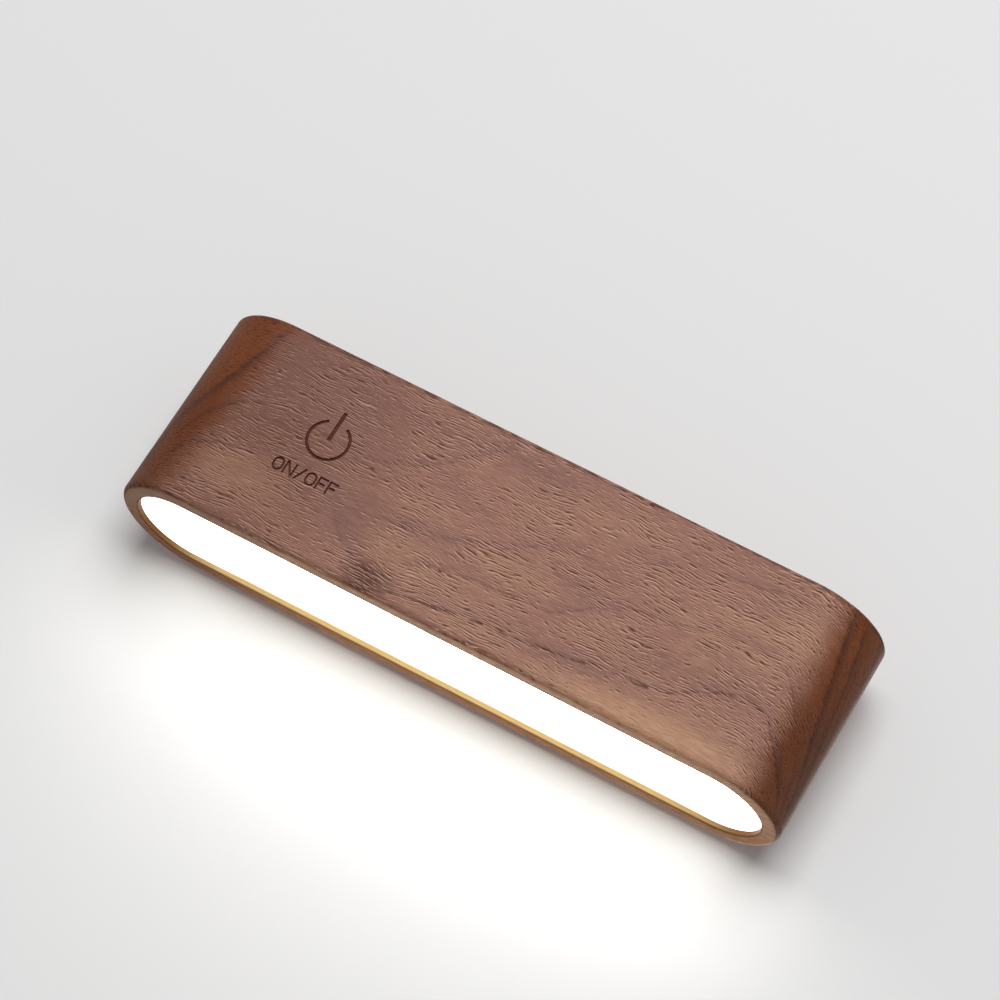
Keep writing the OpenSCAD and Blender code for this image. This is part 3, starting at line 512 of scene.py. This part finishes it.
row_of_blocks = bpy.data.node_groups.new("row_of_blocks", "GeometryNodeTree")
row_inputs = {}
for label, kind in (("Count", "NodeSocketInt"), ("Pitch", "NodeSocketFloat"), ("Size", "NodeSocketVector"),
                    ("First", "NodeSocketVector"), ("Finish", "NodeSocketMaterial")):
    row_inputs[label] = row_of_blocks.interface.new_socket(label, in_out="INPUT", socket_type=kind).identifier
row_of_blocks.interface.new_socket("Geometry", in_out="OUTPUT", socket_type="NodeSocketGeometry")
given = add_node(row_of_blocks, "NodeGroupInput").outputs
offset = add_node(row_of_blocks, "ShaderNodeCombineXYZ", {0: given["Pitch"]})
line = add_node(row_of_blocks, "GeometryNodeMeshLine", {
    "Count": given["Count"], "Start Location": given["First"], "Offset": offset.outputs[0]})
block = add_node(row_of_blocks, "GeometryNodeMeshCube", {"Size": given["Size"]})
blocks = add_node(row_of_blocks, "GeometryNodeInstanceOnPoints",
                  {"Points": line.outputs[0], "Instance": block.outputs[0]})
real = add_node(row_of_blocks, "GeometryNodeRealizeInstances", {"Geometry": blocks.outputs[0]})
finished = add_node(row_of_blocks, "GeometryNodeSetMaterial",
                    {"Geometry": real.outputs[0], "Material": given["Finish"]})
row_of_blocks.links.new(finished.outputs[0], add_node(row_of_blocks, "NodeGroupOutput").inputs[0])


def row(name, count, pitch, size, first, finish):
    """A straight row of like blocks along X as one plain mesh, from the middle of its first block."""
    piece = bpy.data.objects.new(name, bpy.data.meshes.new(name))
    scene.collection.objects.link(piece)
    made = piece.modifiers.new("row", "NODES")
    made.node_group = row_of_blocks
    values = {"Count": count, "Pitch": pitch, "Size": size, "First": first, "Finish": finish}
    for label, value in values.items():
        made[row_inputs[label]] = value
    ready = piece.evaluated_get(bpy.context.evaluated_depsgraph_get())
    mesh = bpy.data.meshes.new_from_object(ready)
    piece.modifiers.remove(made)
    piece.data = mesh
    return piece


led_case = moulding("led_case", "#f2f1ea", "#e8e6dc", 0.35, 0.5, grain=0.15, depth=0.00001)[0]
phosphor = moulding("phosphor", "#f0d266", "#e2bd4a", 0.3, 0.45, grain=0.12, depth=0.00001)[0]
window_high = 0.0001
case_z = led_high.z - (led_size[2] - window_high) / 2
first_x = led_low.x + led_size[0] / 2
cases = row("led_cases", led_count, led_pitch, (led_size[0], led_size[1], led_size[2] - window_high),
            (first_x, led_y, case_z), led_case)
windows = row("led_windows", led_count, led_pitch, (0.0024, 0.0019, window_high),
              (first_x, led_y, led_low.z + window_high / 2), phosphor)
for piece in (cases, windows):
    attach(piece, "lamp")
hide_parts("led_chips")


# Lathe-turned steel, for the plated screws here and for the magnet's pieces at the back.
# The tool leaves fine rings about the axis that the light turns on, and the plating stays bright between.
turned_rings, given, result = shader_group(
    "turned_rings", (("Place", "NodeSocketVector"), ("Pitch", "NodeSocketFloat")),
    (("Rings", "NodeSocketFloat"), ("Stain", "NodeSocketFloat")))
parts = add_node(turned_rings, "ShaderNodeSeparateXYZ", {0: given["Place"]}).outputs
turns = calc(turned_rings, "DIVIDE", slant(turned_rings, parts[0], parts[2]), given["Pitch"])
tool_marks = add_node(turned_rings, "ShaderNodeTexNoise", {"W": turns, "Scale": 1.0, "Detail": 2.0},
                      noise_dimensions="1D")
turned_rings.links.new(tool_marks.outputs[0], result["Rings"])
stain = cloud(turned_rings, given["Place"], (4, 4, 4))
turned_rings.links.new(ease(turned_rings, stain, 0.35, 0.7), result["Stain"])


def turned_metal(name, bright, dull, smooth, rough, pitch):
    finish, tree, shade = new_finish(name)
    place = in_mm(tree)[0]
    marks = add_node(tree, "ShaderNodeGroup", {}, node_tree=turned_rings)
    tree.links.new(place, marks.inputs["Place"])
    marks.inputs["Pitch"].default_value = pitch
    colour = mixed(tree, marks.outputs["Stain"], paint(bright), paint(dull))
    tree.links.new(colour, shade.inputs["Base Color"])
    tree.links.new(ease(tree, marks.outputs["Rings"], 0.25, 0.75, smooth, rough), shade.inputs["Roughness"])
    bump = add_node(tree, "ShaderNodeBump",
                    {"Strength": 0.35, "Distance": 0.00002, "Height": marks.outputs["Rings"]})
    tree.links.new(bump.outputs[0], shade.inputs["Normal"])
    shade.inputs["Metallic"].default_value = 1.0
    return finish


plated_screw = turned_metal("plated_screw", "#b9bbbd", "#9b9da0", 0.28, 0.42, 0.12)
dress(plated_screw, "led_board_screws", "driver_board_screws", "holder_screws")


# Battery. One round lithium cell in a blue shrink sleeve, with nickel tabs spot-welded to its two ends.
# Two black straps hold it down in the cradle of the chassis.
cell_low, cell_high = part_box("battery_cell")
sleeve, tree, shade = new_finish("shrink_sleeve")
place, x, y, z = in_mm(tree)
wrinkle = cloud(tree, place, (1.2, 6, 6), detail=3.0)
from_end = calc(tree, "SUBTRACT", cell_high.x * 1000, calc(tree, "ABSOLUTE", x))
wrapped = ease(tree, from_end, 0.05, 0.12)
insulator = calc(tree, "MULTIPLY", wrapped, calc(tree, "GREATER_THAN", x, cell_high.x * 1000 - 1.0))
colour = mixed(tree, wrinkle, paint("#346fa2"), paint("#2a5f90"))
colour = mixed(tree, insulator, colour, paint("#e9e8e2"))
colour = mixed(tree, wrapped, paint("#b9bbbd"), colour)
tree.links.new(colour, shade.inputs["Base Color"])
tree.links.new(calc(tree, "SUBTRACT", 1.0, wrapped), shade.inputs["Metallic"])
tree.links.new(ease(tree, wrinkle, 0.2, 0.8, 0.22, 0.4), shade.inputs["Roughness"])
near_end = ease(tree, from_end, 5.0, 0.5)
bump = add_node(tree, "ShaderNodeBump", {"Strength": 0.4, "Distance": 0.0001,
                                         "Height": calc(tree, "MULTIPLY", wrinkle, near_end)})
tree.links.new(bump.outputs[0], shade.inputs["Normal"])
dress(sleeve, "battery_cell")

nickel, tree, shade = rolled_metal("nickel_strip", "#cfd0d1", "#bcbec0", (3.0, 8.0, 0.3), 0.22, 0.36)
place, x, y, z = in_mm(tree)
tab_low, tab_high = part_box("cell_tabs")
tab_mid = (tab_low + tab_high) * 500
weld = slant(tree, calc(tree, "SUBTRACT", apart(tree, y, tab_mid.y), 2.0),
             calc(tree, "SUBTRACT", apart(tree, z, tab_mid.z), 1.4))
plain = shade.inputs["Base Color"].links[0].from_socket
tree.links.new(mixed(tree, ease(tree, weld, 0.6, 0.35), plain, paint("#77797c")), shade.inputs["Base Color"])
dress(nickel, "cell_tabs")

black_moulding = moulding("black_moulding", "#2a2a2c", "#333335", 0.45, 0.62, grain=0.25)[0]
dress(black_moulding, "battery_straps")


# Driver board. A green-masked board beside the cell, for charging, dimming and touch, screwed to the chassis.
# Copper tracks show as lighter raised lines under the mask, and black moulded components stand on it.
board_low, board_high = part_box("driver_board")
green_board, tree, shade = new_finish("green_board")
place, x, y, z = in_mm(tree)
weave = cloud(tree, place, (0.4, 0.4, 0.4))


def tracks(tree, across, pitch, width, where):
    """Parallel copper lines, shown where the mask is above half."""
    off = apart(tree, calc(tree, "FRACT", calc(tree, "DIVIDE", across, pitch)), 0.5)
    return calc(tree, "MULTIPLY", ease(tree, off, width / pitch / 2 + 0.03, width / pitch / 2),
                calc(tree, "GREATER_THAN", where, 0.5))


lengthwise = tracks(tree, y, 1.3, 0.45, cloud(tree, place, (9, 2.6, 50), detail=0.0))
crosswise = tracks(tree, x, 1.7, 0.45, cloud(tree, place, (3.4, 8, 50), detail=0.0, shift=(4, 2, 0)))
copper_lines = calc(tree, "MAXIMUM", lengthwise, crosswise)
cut_edge = ease(tree, apart(tree, z, (board_low.z + board_high.z) * 500), 0.77, 0.74)
colour = mixed(tree, weave, paint("#1f6b43"), paint("#1a5d39"))
colour = mixed(tree, calc(tree, "MULTIPLY", copper_lines, 0.8), colour, paint("#3a8a57"))
colour = mixed(tree, cut_edge, colour, paint("#a79d6a"))
tree.links.new(colour, shade.inputs["Base Color"])
tree.links.new(ease(tree, weave, 0.2, 0.8, 0.25, 0.38), shade.inputs["Roughness"])
bump = add_node(tree, "ShaderNodeBump", {"Strength": 0.5, "Distance": 0.00004, "Height": copper_lines})
tree.links.new(bump.outputs[0], shade.inputs["Normal"])
dress(green_board, "driver_board")
dress(moulding("moulded_epoxy", "#3a3b3e", "#2e2f32", 0.4, 0.55, grain=0.2)[0], "driver_components")


# Charging port. A folded steel socket with a black tongue and two rows of gilt contacts, on the board.
# A black bezel lines the opening in the wood, and a frosted pipe beside it brings the charging light out.
socket_low, socket_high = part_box("usb_socket")
socket_x, socket_z = (socket_low.x + socket_high.x) / 2, (socket_low.z + socket_high.z) / 2
tongue_half_high = 0.00035
socket, tree, shade = rolled_metal("socket_steel", "#c6c8ca", "#b0b3b5", (0.4, 7.0, 0.3), 0.25, 0.4)
place, x, y, z = in_mm(tree)
on_tongue = calc(tree, "MULTIPLY", calc(tree, "LESS_THAN", apart(tree, x, socket_x * 1000), 3.4),
                 calc(tree, "LESS_THAN", apart(tree, z, socket_z * 1000), 0.4))
plain = shade.inputs["Base Color"].links[0].from_socket
tree.links.new(mixed(tree, on_tongue, plain, paint("#1d1d1f")), shade.inputs["Base Color"])
tree.links.new(calc(tree, "SUBTRACT", 1.0, on_tongue), shade.inputs["Metallic"])
dress(socket, "usb_socket")
gilt = rolled_metal("gilt_contact", "#d8b565", "#c79f4c", (0.2, 3.0, 0.2), 0.25, 0.38)[0]
contact_size, contact_pitch, contact_count = (0.00025, 0.0034, 0.00004), 0.0005, 12
contact_x = socket_x - (contact_count - 1) / 2 * contact_pitch
contact_y = socket_high.y - 0.0037
for side, lift in (("upper", 1), ("lower", -1)):
    contact_z = socket_z + lift * (tongue_half_high + contact_size[2] / 2)
    contacts = row("socket_contacts_" + side, contact_count, contact_pitch, contact_size,
                   (contact_x, contact_y, contact_z), gilt)
    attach(contacts, "lamp")
dress(black_moulding, "port_bezel")
frosted, tree, shade, base = moulding("frosted_pipe", "#eef3f6", "#e2eaf0", 0.25, 0.4, grain=0.2,
                                      depth=0.00002)
shade.inputs["Transmission Weight"].default_value = 0.4
dress(frosted, "charge_light_pipe")


# Leads. Stranded wires in soft insulation: white to the electrode and the LEDs, red and black to the cell.
# They are cut to length, tinned and soldered, and lie close over the chassis.
white_insulation = moulding("white_insulation", "#e2e0d8", "#d5d2c8", 0.45, 0.6, grain=0.5)[0]
dress(white_insulation, "touch_lead", "led_leads")
pair, tree, shade, base = moulding("red_and_black_insulation", "#b5302a", "#a02722", 0.42, 0.58, grain=0.5)
place, x, y, z = in_mm(tree)
minus_side = calc(tree, "GREATER_THAN", y, (cell_low.y + cell_high.y) * 500 + 3.0)
tree.links.new(mixed(tree, minus_side, base, paint("#262628")), shade.inputs["Base Color"])
dress(pair, "battery_leads")


# Opal diffuser. A 3 mm acrylic plate with half-round ends, pushed up against the chassis skirt.
# It spreads the LEDs behind it into one white face, dimmer at its edge, towards the wall and at the left end.
opal, tree, shade = new_finish("lit_opal")
place, x, y, z = in_mm(tree)
edge = ease(tree, round_the_block(tree, x, y)[0], pocket_r * 0.6, pocket_r)
grain = cloud(tree, place, (0.6, 0.6, 0.6))
glow = mixed(tree, edge, paint("#fffefb"), paint("#f6f2e8"))
unlit = paint("#000000")
glow = mixed(tree, ease(tree, x, -96.0, -45.0, 0.66, 0.0), glow, unlit)
off_ends = calc(tree, "MULTIPLY", ease(tree, x, -96.0, -60.0, 0.2, 1.0),
                ease(tree, x, 94.0, 64.0, 0.72, 1.0))
near_wall = calc(tree, "MULTIPLY", ease(tree, y, -34.0, -8.0, 0.0, 0.89), off_ends)
glow = mixed(tree, near_wall, glow, unlit)
tree.links.new(glow, shade.inputs["Emission Color"])
tree.links.new(mixed(tree, grain, paint("#f7f6f2"), paint("#efede6")), shade.inputs["Base Color"])
tree.links.new(ease(tree, grain, 0.2, 0.8, 0.3, 0.42), shade.inputs["Roughness"])
bump = add_node(tree, "ShaderNodeBump", {"Strength": 0.2, "Distance": 0.00002, "Height": grain})
tree.links.new(bump.outputs[0], shade.inputs["Normal"])
shade.inputs["Emission Strength"].default_value = 6.6
dress(opal, "diffuser")


# Magnet holder. A black moulding let into the back of the block, held by two countersunk screws.
# A dark ring clips over the magnet's flange and traps it, with a waxy white washer between flange and floor.
dress(black_moulding, "magnet_holder")
dress(moulding("grey_ring", "#3f4042", "#47484b", 0.35, 0.5, grain=0.35)[0], "retaining_ring")
dress(moulding("waxy_washer", "#ecebe4", "#e3e1d8", 0.32, 0.46, grain=0.6)[0], "glide_washer")


# Turntable. A turned steel cup with a flange, a magnet glued into it and a rubber face that grips the disc.
# Cup and magnet are nickel plated, so only the turning rings and a slight stain break their shine.
dress(turned_metal("plated_cup", "#cfcfce", "#bcbcbd", 0.2, 0.34, 0.25), "magnet_cup")
dress(turned_metal("plated_magnet", "#c2c3c5", "#aeb0b2", 0.16, 0.28, 0.5), "magnet")
dress(moulding("soft_rubber", "#303032", "#3a3a3b", 0.65, 0.82, grain=0.4, depth=0.00005)[0], "face_pad")


# Wall disc. A turned steel disc that the magnet holds on to, stuck to the wall by a round pad of foam tape.
# The disc keeps the rings of its turning, and the cut edge of the foam shows its open cells.
dress(turned_metal("turned_disc", "#c3c5c7", "#aeb1b3", 0.26, 0.42, 0.3), "wall_disc")
foam, tree, shade = new_finish("foam_tape")
place, x, y, z = in_mm(tree)
spread = add_node(tree, "ShaderNodeVectorMath", {0: place, 3: 3.2}, operation="SCALE").outputs[0]
cells = add_node(tree, "ShaderNodeTexVoronoi", {"Vector": spread, "Scale": 1.0}).outputs["Distance"]
colour = mixed(tree, ease(tree, cells, 0.1, 0.6), paint("#d2cdbf"), paint("#e0dccf"))
tree.links.new(colour, shade.inputs["Base Color"])
tree.links.new(ease(tree, cells, 0.1, 0.6, 0.9, 0.7), shade.inputs["Roughness"])
bump = add_node(tree, "ShaderNodeBump", {"Strength": 0.6, "Distance": 0.00008, "Height": cells})
tree.links.new(bump.outputs[0], shade.inputs["Normal"])
dress(foam, "adhesive_pad")


# Stage. A pale matt surface stands in the plane of the wall, where the photographed light lies on its back.
# It is clear from behind and to light on its way to the block's back, and gives light back below the block.
upright = (1.5707963, 0, 0)
bpy.ops.mesh.primitive_plane_add(size=6.0, location=(0, 0, 0), rotation=upright)
wall = bpy.context.object
wall.name = "pale_surface"
wall.data.transform(wall.matrix_world)
wall.matrix_world = Matrix.Identity(4)
backdrop_grey = (0.795, 0.795, 0.795, 1)
surface, tree, shade = new_finish("pale_surface")
shade.inputs["Base Color"].default_value = backdrop_grey
shade.inputs["Roughness"].default_value = 0.9
shade.inputs["Specular IOR Level"].default_value = 0.0


def seen_directly(tree):
    """1 for rays from the camera, from a mirror-like surface or through glass."""
    path = add_node(tree, "ShaderNodeLightPath").outputs
    return calc(tree, "MAXIMUM", calc(tree, "MAXIMUM", path["Is Camera Ray"], path["Is Glossy Ray"]),
                path["Is Transmission Ray"])


facing = calc(tree, "SUBTRACT", 1.0, add_node(tree, "ShaderNodeNewGeometry").outputs["Backfacing"])
place, x, y, z = in_mm(tree)
below = calc(tree, "LESS_THAN", z, bottom_z - 1.0)
giving_back = calc(tree, "MULTIPLY", add_node(tree, "ShaderNodeLightPath").outputs["Is Diffuse Ray"], below)
clear = add_node(tree, "ShaderNodeBsdfTransparent")
solid = calc(tree, "MULTIPLY", calc(tree, "MAXIMUM", seen_directly(tree), giving_back), facing)
shown = add_node(tree, "ShaderNodeMixShader", {0: solid, 1: clear.outputs[0], 2: shade.outputs[0]})
tree.links.new(shown.outputs[0], tree.nodes["Material Output"].inputs["Surface"])
wall.data.materials.append(surface)
wall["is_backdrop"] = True


# Studio light. A large soft lamp above and in front, a little light from all round, and a soft lamp behind.
# Together they light front and back alike, so that each colour renders about as it is written.
world = bpy.data.worlds.new("studio")
world.use_nodes = True
scene.world = world
tree = world.node_tree
around = tree.nodes["Background"]
around.inputs["Color"].default_value = (1, 1, 1, 1)
around.inputs["Strength"].default_value = 0.3
pale = add_node(tree, "ShaderNodeBackground", {"Color": backdrop_grey, "Strength": 1.0})
sky = add_node(tree, "ShaderNodeMixShader",
               {0: seen_directly(tree), 1: around.outputs[0], 2: pale.outputs[0]})
tree.links.new(sky.outputs[0], tree.nodes["World Output"].inputs["Surface"])

lamps = (("soft_key", (0.08, -1.86, 0.72), 1.3, 30.5), ("back_fill", (0.0, 1.5, 0.3), 1.0, 16.0))
for name, spot, size, watts in lamps:
    lamp_data = bpy.data.lights.new(name, "AREA")
    lamp_data.shape = "SQUARE"
    lamp_data.size = size
    lamp_data.energy = watts
    lamp = bpy.data.objects.new(name, lamp_data)
    lamp.location = spot
    lamp.rotation_mode = "QUATERNION"
    lamp.rotation_quaternion = (-Vector(spot)).to_track_quat("-Z", "Y")
    scene.collection.objects.link(lamp)


# Camera, placed by matching the block's outline to the photograph: a long lens, from the lower right.
# It is turned on its side a little, so that the block lies slanting across the picture.
camera_data = bpy.data.cameras.new("camera")
camera_data.lens, camera_data.sensor_width = 133.82, 36.0
camera_data.clip_start, camera_data.clip_end = 0.05, 50.0
camera = bpy.data.objects.new("camera", camera_data)
right, up = Vector((0.86704106, 0.02867159, 0.49741492)), Vector((-0.43144833, -0.45611682, 0.77834237))
ahead = Vector((-0.2491878, 0.88946272, 0.38309537))
at = Vector((0.23805, -0.90985, -0.36345))
camera.matrix_world = Matrix([(right[i], up[i], -ahead[i], at[i]) for i in range(3)] + [(0, 0, 0, 1)])
scene.collection.objects.link(camera)
scene.camera = camera

low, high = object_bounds()
